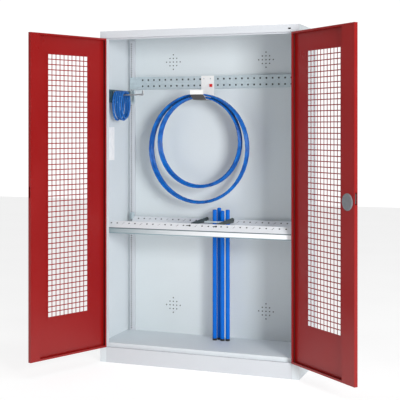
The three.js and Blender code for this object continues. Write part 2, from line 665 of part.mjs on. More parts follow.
function doorMesh(sign) {
  const holes = [];
  const stepX = WINDOW_WIDTH / MESH_COLUMNS;
  const stepZ = WINDOW_HEIGHT / MESH_ROWS;
  for (let column = 0; column < MESH_COLUMNS; column += 1) {
    for (let row = 0; row < MESH_ROWS; row += 1) {
      const u = sign * (WINDOW_CENTRE_X + (column + 0.5 - MESH_COLUMNS / 2) * stepX);
      const v = WINDOW_CENTRE_Z + (row + 0.5 - MESH_ROWS / 2) * stepZ;
      const half = [(stepX - MESH_WEB) / 2, (stepZ - MESH_WEB) / 2];
      holes.push(rectangle(v - half[1], v + half[1], u - half[0], u + half[0]));
    }
  }
  const halfX = WINDOW_WIDTH / 2 + MESH_BORDER;
  const halfZ = WINDOW_HEIGHT / 2 + MESH_BORDER;
  const middle = sign * WINDOW_CENTRE_X;
  const outline = rectangle(WINDOW_CENTRE_Z - halfZ, WINDOW_CENTRE_Z + halfZ, middle - halfX,
    middle + halfX);
  return prism(outline, 'y', [SHEET + GAP, SHEET + GAP + MESH_SHEET], holes);
}

// A boxed stiffener along the free edge, flush with the door's inner lips.
function doorChannel(sign, from, withSpindleHole) {
  const x = (a, b) => [sign * a, sign * b];
  const end = DOOR_END - DOOR_LIP - GAP;
  const z = [DOOR_BOTTOM + DOOR_LIP + GAP, DOOR_TOP - DOOR_LIP - GAP];
  const body = union([
    box(x(from, end), [DOOR_THICKNESS - CHANNEL_SHEET, DOOR_THICKNESS], z),
    box(x(from, from + CHANNEL_SHEET), [SHEET + GAP, DOOR_THICKNESS], z),
  ]);
  if (!withSpindleHole) return body;
  return cut(body, [rod('y', [LOCK_Z, sign * LOCK_X], 7, [DOOR_THICKNESS - 3, DOOR_THICKNESS + 1])]);
}

function doorGroup(side, sign, openDeg) {
  const group = new THREE.Group();
  group.position.set(-sign * (HALF - PIN_INSET), FRONT, 0);
  group.rotation.z = THREE.MathUtils.degToRad(-sign * openDeg);
  const isActive = side === 'right';
  const channelFrom = isActive ? RIGHT_CHANNEL_FROM : LEFT_CHANNEL_FROM;
  group.add(mesh(`${side}_door_panel`, doorPanel(sign, isActive), RED_PAINT));
  group.add(mesh(`${side}_door_mesh`, doorMesh(sign), RED_PAINT));
  group.add(mesh(`${side}_door_channel`, doorChannel(sign, channelFrom, isActive), RED_PAINT));
  cabinet.add(group);
  return group;
}

doorGroup('left', 1, LEFT_OPEN_DEG);
const rightDoor = doorGroup('right', -1, RIGHT_OPEN_DEG);

['left', 'right'].forEach((side) => {
  const x = (side === 'left' ? -1 : 1) * (HALF - PIN_INSET);
  HINGE_HEIGHTS.forEach((z, i) => {
    const top = z + 2 * KNUCKLE_LENGTH + 2 * GAP;
    const shank = rod('z', [x, FRONT], HINGE_PIN_RADIUS, [z + 1, top + 1]);
    const head = rod('z', [x, FRONT], PIN_HEAD_RADIUS, [top, top + PIN_HEAD]);
    cabinet.add(mesh(`${side}_hinge_pin_${i + 1}`, union([shank, head]), STEEL));
  });
});

// ---- lock in the right door ------------------------------------------------------------------
// Turning the grip draws the latch out of the free edge and the two rods out of the ends.
const lockX = -LOCK_X;

function lockCase() {
  const z = [LOCK_Z - CASE_HALF, LOCK_Z + CASE_HALF];
  const shell = box([lockX + CASE_X[0], lockX + CASE_X[1]], CASE_Y, z);
  const through = [CASE_Y[0] - 1, CASE_Y[1] + 1];
  const edge = [lockX + CASE_X[0] - 1, lockX - 33.7];
  return cut(shell, [
    rod('y', [LOCK_Z, lockX], SPINDLE_RADIUS + 1, through),
    box([edge[0], lockX - 20], [5.5, 14.5], [LATCH_Z - LATCH_HEIGHT / 2 - 0.5,
      LATCH_Z + LATCH_HEIGHT / 2 + 0.5]),
    box(edge, through, [z[0] - 1, LATCH_Z - 26]),
    box(edge, through, [LATCH_Z + 26, z[1] + 1]),
  ]);
}

rightDoor.add(mesh('lock_case', lockCase(), STEEL));

rightDoor.add(mesh('lock_latch', boxGeometry(
  [lockX - 20.5, -(DOOR_END - 3)], [6, 14],
  [LATCH_Z - LATCH_HEIGHT / 2, LATCH_Z + LATCH_HEIGHT / 2]), STEEL));

rightDoor.add(mesh('lock_cover_disc', discProfile(DISC_RADIUS, 5, DOOR_THICKNESS + GAP), GREY_PLASTIC));

// A disc with a chamfered rim about the lock axis, standing inward from `y`.
function discProfile(radius, thickness, y) {
  const profile = [[0, 0], [radius, 0], [radius, thickness * 0.5], [radius - 4, thickness],
    [0, thickness]].map(([r, h]) => new THREE.Vector2(r, h));
  return new THREE.LatheGeometry(profile, 32).translate(lockX, y, LOCK_Z);
}

const rosetteProfile = [[0, -ROSETTE_DEPTH], [ROSETTE_RADIUS - 3, -ROSETTE_DEPTH],
  [ROSETTE_RADIUS, -3], [ROSETTE_RADIUS, 0], [0, 0]].map(([r, h]) => new THREE.Vector2(r, h));
rightDoor.add(mesh('lock_rosette', cut(
  toManifold(new THREE.LatheGeometry(rosetteProfile, 32).translate(lockX, -GAP, LOCK_Z)),
  [rod('y', [LOCK_Z, lockX], 9, [-8, 2])],
), GREY_PLASTIC));

// The turning grip and its spindle are one piece; the spindle ends inside the lock case.
function lockGrip() {
  const long = [BAR_HALF - BAR_CHAMFER, BAR_HALF];
  const wide = [BAR_WIDTH_HALF, BAR_WIDTH_HALF - BAR_CHAMFER];
  const outline = [[-long[0], -wide[0]], [long[0], -wide[0]], [long[1], -wide[1]],
    [long[1], wide[1]], [long[0], wide[0]], [-long[0], wide[0]], [-long[1], wide[1]],
    [-long[1], -wide[1]]].map(([z, x]) => [LOCK_Z + z, lockX + x]);
  return union([
    rod('y', [LOCK_Z, lockX], BOSS_RADIUS, [BOSS_FRONT, -ROSETTE_DEPTH - 2 * GAP], 20),
    rod('y', [LOCK_Z, lockX], SPINDLE_RADIUS, [BOSS_FRONT + 4, 15], 12),
    prism(outline, 'y', BAR_Y),
  ]);
}

rightDoor.add(mesh('lock_grip', lockGrip(), BLACK_PLASTIC));

[['upper', 1], ['lower', -1]].forEach(([name, up]) => {
  const inner = LATCH_Z + up * 75;
  const outer = up > 0 ? DOOR_TOP - 0.5 : DOOR_BOTTOM + 0.5;
  rightDoor.add(mesh(`lock_rod_${name}`,
    rod('z', [-ROD_X, ROD_Y], ROD_RADIUS, [Math.min(inner, outer), Math.max(inner, outer)]), STEEL));
});

export default cabinet;
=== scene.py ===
# Looks of a tall two-door equipment cabinet: perforated doors and rails, hose coils, rope, rods.
# Metres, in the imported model's frame: X to the right seen from the front, Y inward, +Z up.
import json
import math

import bpy
import bmesh
from mathutils import Matrix, Vector


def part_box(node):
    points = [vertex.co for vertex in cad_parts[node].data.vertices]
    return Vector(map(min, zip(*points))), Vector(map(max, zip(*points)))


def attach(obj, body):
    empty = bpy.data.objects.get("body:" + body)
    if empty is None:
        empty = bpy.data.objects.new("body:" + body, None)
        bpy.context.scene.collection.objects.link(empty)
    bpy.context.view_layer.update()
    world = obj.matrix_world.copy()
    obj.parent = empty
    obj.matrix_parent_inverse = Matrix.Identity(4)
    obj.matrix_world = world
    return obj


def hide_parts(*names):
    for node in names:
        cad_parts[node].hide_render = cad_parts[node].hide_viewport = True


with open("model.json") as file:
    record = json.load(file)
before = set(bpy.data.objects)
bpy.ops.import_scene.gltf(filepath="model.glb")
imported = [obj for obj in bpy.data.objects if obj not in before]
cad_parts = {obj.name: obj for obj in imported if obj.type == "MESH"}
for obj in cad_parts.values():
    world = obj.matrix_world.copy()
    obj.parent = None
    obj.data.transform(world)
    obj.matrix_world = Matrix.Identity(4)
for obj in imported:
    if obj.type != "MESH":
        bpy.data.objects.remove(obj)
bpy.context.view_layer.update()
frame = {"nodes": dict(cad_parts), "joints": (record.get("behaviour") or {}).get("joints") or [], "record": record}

NODES = frame["nodes"]


# ---- places taken from the frame ------------------------------------------------------
JOINTS = {joint["name"]: joint for joint in frame["joints"]}
DOOR_SIGN = {"left": 1, "right": -1}
OPEN_DEG = {"left": 112.7, "right": 137.5}
PIN = {side: Vector(JOINTS[f"{side}_door_hinge"]["pos_m"][:2]) for side in DOOR_SIGN}


def middle(node):
    """The centre of a CAD node's box."""
    low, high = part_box(node)
    return (low + high) / 2


def door_matrix(side):
    """From a closed door's own axes, X from the pin and Y inward, to the row frame at rest."""
    turn = Matrix.Rotation(math.radians(-DOOR_SIGN[side] * OPEN_DEG[side]), 4, "Z")
    return Matrix.Translation((PIN[side].x, PIN[side].y, 0)) @ turn


# ---- camera -----------------------------------------------------------------------------
CAMERA_PLACE = (1.8925, -5.5468, 1.3784)
CAMERA_TURN_DEG = 21.34
CAMERA_LENS = 89.5
CAMERA_SHIFT_X = 0.0892
CAMERA_SHIFT_Y = -0.1795


def add_camera():
    """A level camera to the right of the cabinet, so that uprights stay parallel."""
    data = bpy.data.cameras.new("camera")
    data.sensor_width = 36
    data.lens = CAMERA_LENS
    data.shift_x = CAMERA_SHIFT_X
    data.shift_y = CAMERA_SHIFT_Y
    data.clip_end = 100
    camera = bpy.data.objects.new("camera", data)
    camera.location = CAMERA_PLACE
    camera.rotation_euler = (math.radians(90), 0, math.radians(CAMERA_TURN_DEG))
    bpy.context.scene.collection.objects.link(camera)
    bpy.context.scene.camera = camera


add_camera()


# ---- building pieces ---------------------------------------------------------------------
def link(name, data, material, body):
    """Links a piece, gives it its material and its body."""
    piece = bpy.data.objects.new(name, data)
    bpy.context.scene.collection.objects.link(piece)
    data.materials.append(material)
    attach(piece, body)
    return piece


def mesh_data(name, points, faces, smooth=False):
    """A mesh from points and the corners of each face."""
    data = bpy.data.meshes.new(name)
    data.from_pydata([tuple(p) for p in points], [], faces)
    if smooth:
        data.shade_smooth()
    data.validate()
    return data


def from_bmesh(name, bm, smooth=False):
    """A mesh from a bmesh, which is freed, with every face turned outward."""
    bmesh.ops.recalc_face_normals(bm, faces=bm.faces)
    data = bpy.data.meshes.new(name)
    bm.to_mesh(data)
    bm.free()
    if smooth:
        data.shade_smooth()
    return data


def soften(piece, width, segments=2, angle=35):
    """A small round on every sharp edge."""
    bevel = piece.modifiers.new("edge_round", "BEVEL")
    bevel.width = width
    bevel.segments = segments
    bevel.limit_method = "ANGLE"
    bevel.angle_limit = math.radians(angle)
    bevel.harden_normals = False
    return piece


# ---- cords --------------------------------------------------------------------------------
STEPS_PER_TURN = 48
HOSE_DIAMETER = 0.011
HOSE_TURNS = 6
HOSE_SIDE_GAP = 0.0003
HOSE_RING_GAP = 0.0004
HOSE_SLACK = 0.0045
ROPE_DIAMETER = 0.013
ROPE_TURNS = 5
ROPE_GAP = 0.0006
ROPE_SWING = 0.006
ROPE_STEP = 0.0028


def hose_route(node, inset, phase):
    """Turns side by side along Y, each a ring that hangs in the node's box."""
    low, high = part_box(node)
    centre = (low + high) / 2
    half_x = (high.x - low.x) / 2 - inset
    half_z = (high.z - low.z) / 2 - inset
    first = low.y + HOSE_DIAMETER / 2 + HOSE_SIDE_GAP
    last = high.y - HOSE_DIAMETER / 2 - HOSE_SIDE_GAP
    count = HOSE_TURNS * STEPS_PER_TURN
    points = []
    for i in range(count + 1):
        turn = i / STEPS_PER_TURN
        angle = math.pi / 2 + 2 * math.pi * turn
        loose = 0.5 * (1 - math.sin(angle))
        wander = math.sin(phase + 2.4 * math.floor(turn) + math.sin(2 * math.pi * turn) * 0.4)
        slack = loose * HOSE_SLACK * (wander - 1)
        points.append(Vector((
            centre.x + (half_x + slack) * math.cos(angle),
            first + (last - first) * i / count,
            centre.z + (half_z + slack) * math.sin(angle))))
    return points


def curve_data(name, points, radius):
    """A round tube on one open line through points."""
    data = bpy.data.curves.new(name, "CURVE")
    data.dimensions = "3D"
    data.bevel_depth = radius
    data.bevel_resolution = 6
    data.use_fill_caps = True
    spline = data.splines.new("POLY")
    spline.points.add(len(points) - 1)
    for point, place in zip(spline.points, points):
        point.co = (*place, 1)
    spline.use_smooth = True
    return data


def add_hose(name, node, phase):
    """A coiled hose in place of its ring. phase sets how its turns wander."""
    points = hose_route(node, HOSE_DIAMETER / 2 + HOSE_RING_GAP, phase)
    data = curve_data(name, points, HOSE_DIAMETER / 2)
    piece = link(name, data, HOSE_BLUE, "root")
    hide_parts(node)


# ---- materials ------------------------------------------------------------------------------
class Shader:
    """A material with one Principled shader, and short calls that add its nodes."""

    def __init__(self, name, roughness=0.5, metallic=0.0, **inputs):
        self.material = bpy.data.materials.new(name)
        self.material.use_nodes = True
        self.tree = self.material.node_tree
        self.principled = self.tree.nodes["Principled BSDF"]
        self.principled.inputs["Roughness"].default_value = roughness
        self.principled.inputs["Metallic"].default_value = metallic
        for key, value in inputs.items():
            self.principled.inputs[key.replace("_", " ")].default_value = value
        self.place = self.node("ShaderNodeTexCoord").outputs["Object"]

    def node(self, kind, **settings):
        node = self.tree.nodes.new(kind)
        for key, value in settings.items():
            setattr(node, key, value)
        return node

    def join(self, source, target):
        self.tree.links.new(source, target)

    def stretched(self, scale):
        mapping = self.node("ShaderNodeMapping")
        mapping.inputs["Scale"].default_value = scale
        self.join(self.place, mapping.inputs["Vector"])
        return mapping.outputs["Vector"]

    def noise(self, scale, detail=3.0, place=None):
        node = self.node("ShaderNodeTexNoise")
        node.inputs["Scale"].default_value = scale
        node.inputs["Detail"].default_value = detail
        self.join(place or self.place, node.inputs["Vector"])
        return node.outputs["Fac"]

    def remap(self, value, low, high, start=0.3, end=0.7):
        node = self.node("ShaderNodeMapRange")
        node.inputs["From Min"].default_value = start
        node.inputs["From Max"].default_value = end
        node.inputs["To Min"].default_value = low
        node.inputs["To Max"].default_value = high
        self.join(value, node.inputs["Value"])
        return node.outputs["Result"]

    def ramp(self, value, stops):
        node = self.node("ShaderNodeValToRGB")
        elements = node.color_ramp.elements
        while len(elements) < len(stops):
            elements.new(0.5)
        for element, (position, color) in zip(elements, stops):
            element.position = position
            element.color = color
        self.join(value, node.inputs["Fac"])
        return node.outputs["Color"]

    def mix(self, factor, first, second):
        node = self.node("ShaderNodeMix", data_type="RGBA")
        for socket, value in ((node.inputs[0], factor), (node.inputs[6], first),
                              (node.inputs[7], second)):
            if hasattr(value, "is_linked"):
                self.join(value, socket)
            else:
                socket.default_value = value
        return node.outputs[2]

    def bump(self, height, strength, distance):
        node = self.node("ShaderNodeBump")
        node.inputs["Strength"].default_value = strength
        node.inputs["Distance"].default_value = distance
        self.join(height, node.inputs["Height"])
        if self.principled.inputs["Normal"].is_linked:
            previous = self.principled.inputs["Normal"].links[0].from_socket
            self.join(previous, node.inputs["Normal"])
        self.join(node.outputs["Normal"], self.principled.inputs["Normal"])

    def color(self, source):
        self.join(source, self.principled.inputs["Base Color"])

    def roughness(self, source):
        self.join(source, self.principled.inputs["Roughness"])


def rgb(hex_code, gain=1.0):
    """A linear colour from an sRGB hex code."""
    channels = [int(hex_code[i:i + 2], 16) / 255 for i in (0, 2, 4)]
    linear = [c / 12.92 if c <= 0.04045 else ((c + 0.055) / 1.055) ** 2.4 for c in channels]
    return (*[min(1.0, c * gain) for c in linear], 1)


def painted(name, hex_code, roughness=0.45, shade=0.93, specular=0.4):
    """Baked powder paint: fine orange peel, faint cloudy shade, duller patches. Returns the
    shader and its paint colour."""
    s = Shader(name, roughness, Specular_IOR_Level=specular)
    cloud = s.noise(3.2, 4)
    speck = s.noise(900, 2)
    tone = s.ramp(cloud, [(0.34, rgb(hex_code, shade)), (0.66, rgb(hex_code))])
    fleck = s.ramp(speck, [(0.40, rgb(hex_code, shade * 0.96)), (0.60, rgb(hex_code, 1.03))])
    s.roughness(s.remap(cloud, roughness - 0.05, roughness + 0.07))
    s.bump(s.noise(420, 2), 0.10, 0.0006)
    s.bump(s.noise(38, 2), 0.05, 0.002)
    return s, s.mix(0.35, tone, fleck)


def powder_coat(name, hex_code, **settings):
    """Baked powder paint all over."""
    s, paint = painted(name, hex_code, **settings)
    s.color(paint)
    return s.material


def shaded_below(name, hex_code, painted_shade_hex, **settings):
    """Powder paint over the top and sides; the faces that look down are painted dark, as painted shade."""
    s, paint = painted(name, hex_code, **settings)
    facing = s.node("ShaderNodeSeparateXYZ")
    s.join(s.node("ShaderNodeNewGeometry").outputs["Normal"], facing.inputs["Vector"])
    # Painted shade: the faces that look down turn dark.
    s.color(s.mix(s.remap(facing.outputs["Z"], 1, 0, -0.6, -0.3), paint, rgb(painted_shade_hex)))
    return s.material


def traverse_paint(name, face_hex, lip_dark, lip_reflection, fold_shadow_hex, fold_z, bottom_z):
    """A traverse: pale sloping face, then a dark line at the fold, which is painted shadow, and a zinc-grey lip
    with a darker band along its bottom edge. The lip is brighter towards the right end, which is a painted
    reflection."""
    s, face = painted(name, face_hex, roughness=0.45, shade=0.95)
    place = s.node("ShaderNodeSeparateXYZ")
    s.join(s.place, place.inputs["Vector"])
    # Painted reflection: the lip grows brighter towards the right end, with random streaks.
    along = s.remap(place.outputs["X"], 0, 1, -0.55, 0.55)
    streak = s.remap(s.noise(14, 3, s.stretched((1, 1, 20))), -0.06, 0.06)
    tone = s.node("ShaderNodeMath", operation="ADD")
    s.join(along, tone.inputs[0])
    s.join(streak, tone.inputs[1])
    lip = s.ramp(tone.outputs["Value"], [(0.0, rgb(lip_dark)), (0.55, rgb(lip_reflection, 0.86)),
                                         (1.0, rgb(lip_reflection))])
    # Painted shadow: a dark line just below the fold; the lip's bottom edge is darker too.
    fold_shadow = s.remap(place.outputs["Z"], 0, 1, fold_z - 0.0065, fold_z - 0.0045)
    edge = s.remap(place.outputs["Z"], 1, 0, bottom_z + 0.003, bottom_z + 0.005)
    lip = s.mix(fold_shadow, s.mix(edge, lip, rgb(fold_shadow_hex, 2.4)), rgb(fold_shadow_hex))
    s.color(s.mix(s.remap(place.outputs["Z"], 0, 1, fold_z - 0.0008, fold_z + 0.0008), lip, face))
    return s.material


def galvanised(name, light, dark, roughness=0.42, metallic=0.75):
    """Zinc sheet: spangle cells of differing tone, fine rolling lines."""
    s = Shader(name, roughness, metallic)
    cells = s.node("ShaderNodeTexVoronoi")
    cells.inputs["Scale"].default_value = 90
    s.join(s.stretched((1, 1, 0.55)), cells.inputs["Vector"])
    cell_tone = s.node("ShaderNodeSeparateColor")
    s.join(cells.outputs["Color"], cell_tone.inputs["Color"])
    lines = s.noise(260, 2, s.stretched((0.05, 0.05, 1)))
    spangle = s.ramp(cell_tone.outputs["Red"], [(0.0, rgb(dark)), (1.0, rgb(light))])
    rolled = s.ramp(lines, [(0.35, rgb(dark, 0.95)), (0.65, rgb(light, 1.02))])
    s.color(s.mix(0.4, spangle, rolled))
    s.roughness(s.remap(cell_tone.outputs["Green"], roughness - 0.07, roughness + 0.09, 0, 1))
    s.bump(lines, 0.12, 0.0004)
    return s.material


def drawn_steel(name, light, dark, roughness=0.3, axis=(1, 1, 0.03)):
    """Bright steel with fine draw lines along one axis."""
    s = Shader(name, roughness, 0.9)
    lines = s.noise(700, 2, s.stretched(axis))
    s.color(s.ramp(lines, [(0.3, rgb(dark)), (0.7, rgb(light))]))
    s.roughness(s.remap(s.noise(30), roughness - 0.05, roughness + 0.12))
    s.bump(lines, 0.15, 0.0003)
    return s.material


def moulded_plastic(name, hex_code, roughness=0.5, grain=0.25):
    """Moulded plastic with a fine spark-eroded grain."""
    s = Shader(name, roughness)
    grain_cells = s.noise(1500, 3)
    s.color(s.ramp(s.noise(60, 3), [(0.35, rgb(hex_code, 0.88)), (0.65, rgb(hex_code))]))
    s.roughness(s.remap(grain_cells, roughness - 0.06, roughness + 0.08))
    s.bump(grain_cells, grain, 0.0003)
    return s.material


def glossy_hose(name, light, dark):
    """Extruded polymer hose: glossy skin, faint cloudiness and die lines."""
    s = Shader(name, 0.2, Specular_IOR_Level=0.3)
    cloud = s.noise(26, 3)
    s.color(s.ramp(cloud, [(0.32, rgb(dark)), (0.68, rgb(light))]))
    s.roughness(s.remap(cloud, 0.16, 0.26))
    s.bump(s.noise(240, 2), 0.12, 0.0004)
    return s.material


def braided_rope(name, light, dark, fleck):
    """Braided yarn, painted paler on the crowns and dark between them, as painted highlight and shade, with pale
    flecks on the crowns as painted highlights.
    The mesh carries how high each point of the braid stands, and where the flecks lie."""
    s = Shader(name, 0.75, Sheen_Weight=0.1, Sheen_Roughness=0.4)
    crown = s.node("ShaderNodeAttribute", attribute_name="crown").outputs["Fac"]
    painted_glint = s.node("ShaderNodeAttribute", attribute_name="painted_glint").outputs["Fac"]
    # Painted highlight and shade: paler crowns, darker hollows between them.
    crown_shading = s.ramp(crown, [(0.15, rgb(dark)), (0.75, rgb(light))])
    fibre = s.noise(1400, 2)
    tone = s.mix(s.remap(fibre, 0.0, 0.35), crown_shading, rgb(light, 1.25))
    # Painted highlight: pale flecks on the crowns.
    s.color(s.mix(painted_glint, tone, rgb(fleck)))
    s.bump(fibre, 0.4, 0.0005)
    return s.material


GREY_PAINT = powder_coat("grey_powder_coat", "c9cdd2", roughness=0.5, shade=0.96)
# Lighter copies of the grey paint for the side, floor and back panels: painted light, so these panels read as
# brightly lit as the fascia.
SIDE_PAINT_LIGHTENED = powder_coat("side_coat_painted_light", "d7dee2", roughness=0.5, shade=0.96)
BACK_PAINT_LIGHTENED = powder_coat("back_coat_painted_light", "d5dde0", roughness=0.5, shade=0.96)
RED_PAINT = powder_coat("red_powder_coat", "920908", roughness=0.32, shade=0.90, specular=0.45)
WHITE_PAINT = powder_coat("white_powder_coat", "f1f1ef", roughness=0.4, shade=0.97)
# The hose holder's white paint, with painted shade on the faces that look down.
HOLDER_PAINT_SHADED_BELOW = shaded_below("holder_paint_shaded_below", "f1f1ef", "4a4440", roughness=0.4, shade=0.97)
DARK_STEEL = powder_coat("dark_steel_paint", "3b4747", roughness=0.5, shade=0.85)
ZINC = galvanised("zinc_sheet", "c6d4d9", "b7c5cb", metallic=0.25)
DARK_ZINC = galvanised("side_rail_zinc", "446470", "35525d", 0.5, 0.3)
# A near-black sheet material for hollows that are only in shade: painted shade.
DEEP_SHADE = moulded_plastic("dark_shade_sheet", "090b0d", 0.8)
STEEL = drawn_steel("drawn_steel", "d0d3d5", "a6aaad")
GREY_PLASTIC = moulded_plastic("grey_plastic", "777c80", 0.5)
BLACK_PLASTIC = moulded_plastic("black_plastic", "16181a", 0.45)
RED_PLASTIC = moulded_plastic("red_plastic", "e0101a", 0.35, 0.1)
HOSE_BLUE = glossy_hose("blue_hose_skin", "006cc6", "004c9c")
ROPE_BLUE = braided_rope("blue_braid", "0072c8", "003478", "a4c8e2")
ROD_BLUE = powder_coat("blue_rod_lacquer", "006cd6", roughness=0.25, shade=0.8, specular=0.15)

TRAVERSE_LIP = 0.034
TRAVERSE_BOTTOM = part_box("front_traverse")[0].z
# The front traverse's paint carries a painted shadow line at the fold and a painted reflection on its lip.
FRONT_TRAVERSE_PAINTED_LIGHT = traverse_paint(
    "front_traverse_painted_light", "d9dde1", "8d9fa5", "eef1f4", "4a5d63",
    TRAVERSE_BOTTOM + TRAVERSE_LIP, TRAVERSE_BOTTOM)
REAR_TRAVERSE_PAINT = powder_coat("rear_traverse_paint", "d9dde1", roughness=0.45, shade=0.95)

CAD_MATERIALS = {
    "grey_paint": GREY_PAINT, "red_paint": RED_PAINT, "galvanised": ZINC,
    "white_paint": WHITE_PAINT, "dark_steel": DARK_STEEL, "steel": STEEL,
    "grey_plastic": GREY_PLASTIC, "black_plastic": BLACK_PLASTIC, "red_plastic": RED_PLASTIC,
    "blue_hose": HOSE_BLUE, "blue_rope": ROPE_BLUE, "blue_rod": ROD_BLUE,
}


def paint_cad_nodes():
    """Every CAD node gets the material of its record slot."""
    for row in frame["record"]["subparts"]:
        node = NODES[row["node"]]
        node.data.materials.clear()
        node.data.materials.append(CAD_MATERIALS[row["material_slot"]])
    special = {
        "left_side_panel": SIDE_PAINT_LIGHTENED, "right_side_panel": SIDE_PAINT_LIGHTENED, "floor_panel": SIDE_PAINT_LIGHTENED,
        "side_rail": DARK_ZINC, "back_panel": BACK_PAINT_LIGHTENED, "hose_holder": HOLDER_PAINT_SHADED_BELOW,
        # The lock latch gets the dark steel paint in place of bright steel: painted shade, so its slot reads dark.
        "lock_latch": DARK_STEEL,
        "front_traverse": FRONT_TRAVERSE_PAINTED_LIGHT, "rear_traverse": REAR_TRAVERSE_PAINT}
    for name, material in special.items():
        NODES[name].data.materials[0] = material


paint_cad_nodes()


# ---- stored hoses and rope -----------------------------------------------------------------
add_hose("large_hose", "large_hose_coil", phase=0.0)
add_hose("small_hose", "small_hose_coil", phase=1.9)


def rope_route():
    """Turns side by side along the hook. Each lower end swings a little."""
    low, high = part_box("rope_coil")
    centre = (low + high) / 2
    margin = ROPE_DIAMETER / 2 + ROPE_GAP
    half_y = (high.y - low.y) / 2 - margin
    half_z = (high.z - low.z) / 2 - margin
    first = low.x + margin
    last = high.x - margin
    count = ROPE_TURNS * STEPS_PER_TURN
    points = []
    for i in range(count + 1):
        turn = i / STEPS_PER_TURN
        angle = math.pi / 2 + 2 * math.pi * turn
        hang = 0.5 * (1 - math.sin(angle))
        slack = ROPE_SWING * hang * (math.sin(1.3 + 2.1 * turn) - 1)
        points.append(Vector((
            first + (last - first) * i / count,
            centre.y + (half_y + slack * 0.8) * math.cos(angle),
            centre.z + (half_z + slack) * math.sin(angle))))
    return points


def even_line(points, step):
    """Points at even steps along a line."""
    result = [points[0].copy()]
    left = step
    for a, b in zip(points, points[1:]):
        span = (b - a).length
        at = left
        while at <= span:
            result.append(a.lerp(b, at / span))
            at += step
        left = at - span
    result.append(points[-1].copy())
    return result


def braid_tube(name, points, radius, material, body):
    """A tube along points with the crowns of a braid raised on it."""
    around = 20
    strands = 4
    pitch = 0.034
    relief = 0.10
    up = Vector((1, 0, 0))
    rows = []
    crowns = []
    painted_glints = []
    faces = []
    run = 0.0
    for i, place in enumerate(points):
        ahead = points[min(i + 1, len(points) - 1)] - points[max(i - 1, 0)]
        along = ahead.normalized()
        side = along.cross(up).normalized()
        lift = side.cross(along)
        if i:
            run += (place - points[i - 1]).length
        for k in range(around):
            turn = 2 * math.pi * k / around
            twist = 2 * math.pi * run / pitch
            crown = abs(math.sin(strands * (turn + twist) / 2) * math.sin(strands * (turn - twist) / 2))
            reach = radius * (1 - relief + relief * crown)
            rows.append(place + side * (reach * math.cos(turn)) + lift * (reach * math.sin(turn)))
            crowns.append(crown)
            # Where a pale fleck of painted highlight lies on a crown.
            painted_glints.append(1.0 if math.sin((turn + twist) / 2) > 0.985 and crown > 0.35 else 0.0)
    for i in range(len(points) - 1):
        for k in range(around):
            n = (k + 1) % around
            faces.append((i * around + k, i * around + n, (i + 1) * around + n, (i + 1) * around + k))
    faces.append(tuple(range(around)))
    faces.append(tuple(reversed(range(len(rows) - around, len(rows)))))
    data = mesh_data(name, rows, faces, smooth=True)
    for label, values in (("crown", crowns), ("painted_glint", painted_glints)):
        layer = data.attributes.new(label, "FLOAT", "POINT")
        layer.data.foreach_set("value", values)
    return link(name, data, material, body)


def add_rope():
    """The coiled rope, in place of its ring."""
    path = even_line(rope_route(), ROPE_STEP)
    piece = braid_tube("coiled_rope", path, ROPE_DIAMETER / 2, ROPE_BLUE, "root")
    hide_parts("rope_coil")


add_rope()


# ---- perforated sheets ------------------------------------------------------------------------
def plate_mesh(name, us, vs, is_open, thickness, place):
    """A closed sheet on a grid of lines us by vs, with the cells that is_open names cut through.
    place turns (u, v, depth) into a point of the row frame."""
    lookup = {}
    points = []
    faces = []

    def corner(i, j, back):
        key = (i, j, back)
        if key not in lookup:
            lookup[key] = len(points)
            points.append(place(us[i], vs[j], thickness * back))
        return lookup[key]

    def solid(i, j):
        return 0 <= i < len(us) - 1 and 0 <= j < len(vs) - 1 and not is_open(i, j)

    for i in range(len(us) - 1):
        for j in range(len(vs) - 1):
            if not solid(i, j):
                continue
            ring = ((i, j), (i + 1, j), (i + 1, j + 1), (i, j + 1))
            faces.append([corner(a, b, 0) for a, b in ring])
            faces.append([corner(a, b, 1) for a, b in reversed(ring)])
            beside = ((i, j - 1), (i + 1, j), (i, j + 1), (i - 1, j))
            for k, near in enumerate(beside):
                if not solid(*near):
                    a, b = ring[k], ring[(k + 1) % 4]
                    faces.append([corner(*a, 1), corner(*b, 1), corner(*b, 0), corner(*a, 0)])
    bm = bmesh.new()
    made = [bm.verts.new(p) for p in points]
    for face in faces:
        bm.faces.new([made[i] for i in face])
    return from_bmesh(name, bm)


WINDOW_WIDTH = 0.295
WINDOW_HEIGHT = 1.475
WINDOW_X = 0.285
MESH_COLUMNS = 10
MESH_ROWS = 50
MESH_WEB = 0.0052
MESH_RIM = 0.008
MESH_DEPTH = 0.0012
MESH_Y = 0.0018


def hole_lines(start, length, count, web, rim):
    """Grid lines across a row of holes, and the outer rim on both sides."""
    pitch = length / count
    lines = [start - rim]
    for i in range(count):
        lines += [start + i * pitch + web / 2, start + (i + 1) * pitch - web / 2]
    return lines + [start + length + rim]


def add_door_mesh(side):
    """A door's perforated sheet, in place of its plainer one."""
    sign = DOOR_SIGN[side]
    to_row = door_matrix(side)
    centre_z = middle(f"{side}_door_mesh").z
    us = hole_lines(WINDOW_X - WINDOW_WIDTH / 2, WINDOW_WIDTH, MESH_COLUMNS, MESH_WEB, MESH_RIM)
    vs = hole_lines(centre_z - WINDOW_HEIGHT / 2, WINDOW_HEIGHT, MESH_ROWS, MESH_WEB, MESH_RIM)
    data = plate_mesh(
        f"{side}_mesh_sheet", us, vs, lambda i, j: i % 2 == 1 and j % 2 == 1, MESH_DEPTH,
        lambda u, v, depth: to_row @ Vector((sign * u, MESH_Y + depth, v)))
    piece = link(f"{side}_mesh_sheet", data, RED_PAINT, f"{side}_door")
    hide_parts(f"{side}_door_mesh")


for door_side in DOOR_SIGN:
    add_door_mesh(door_side)


# ---- slotted uprights -----------------------------------------------------------------------
SLOT_PITCH = 0.0138
SLOT_HEIGHT = 0.005
SLOT_WIDTH = 0.009
SLOT_EDGE = 0.011
STRIP_SHEET = 0.0015


